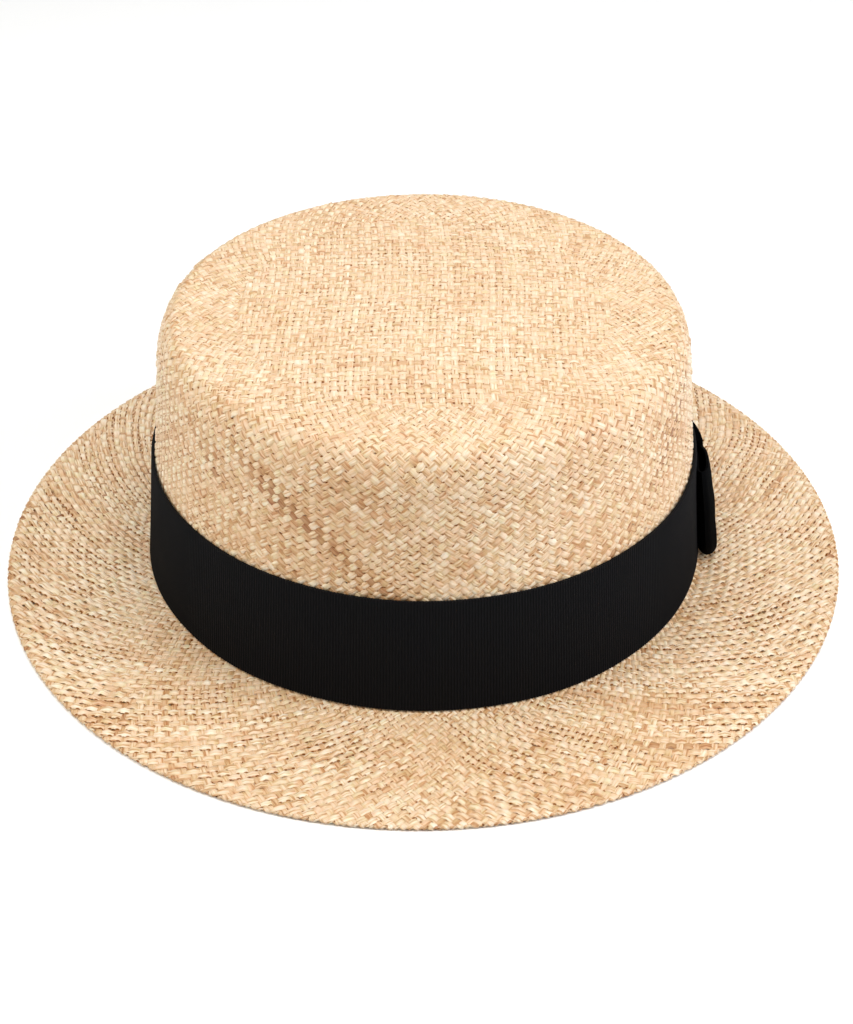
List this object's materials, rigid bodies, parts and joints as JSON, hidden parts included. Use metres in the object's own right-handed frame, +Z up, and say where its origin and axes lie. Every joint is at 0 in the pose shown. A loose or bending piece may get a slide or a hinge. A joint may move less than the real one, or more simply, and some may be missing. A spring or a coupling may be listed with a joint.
{
  "type": "straw boater hat",
  "caption": "Straw boater hat with a flat oval brim, a flat-topped crown that leans in a little, a dark ribbon band and a flat bow at the wearer's left side.",
  "frame": {"origin": "on the surface that the brim rests on, under the middle of the crown", "axes": "+Z up through the crown, -Y to the front of the hat, +X to the wearer's left, where the bow is"},
  "size_m": [0.2706, 0.3042, 0.0844],
  "materials": {
    "straw_crown": "plain-woven natural straw, dry with a faint sheen",
    "straw_brim": "plain-woven natural straw, dry with a faint sheen",
    "ribbon": "ribbed black ribbon, matte",
    "bow_ribbon": "ribbed black ribbon, matte"
  },
  "bodies": {
    "root": {"crown": "straw_crown", "brim": "straw_brim", "ribbon_band": "ribbon", "bow_loops": "bow_ribbon", "bow_knot": "bow_ribbon"}
  },
  "joints": []
}
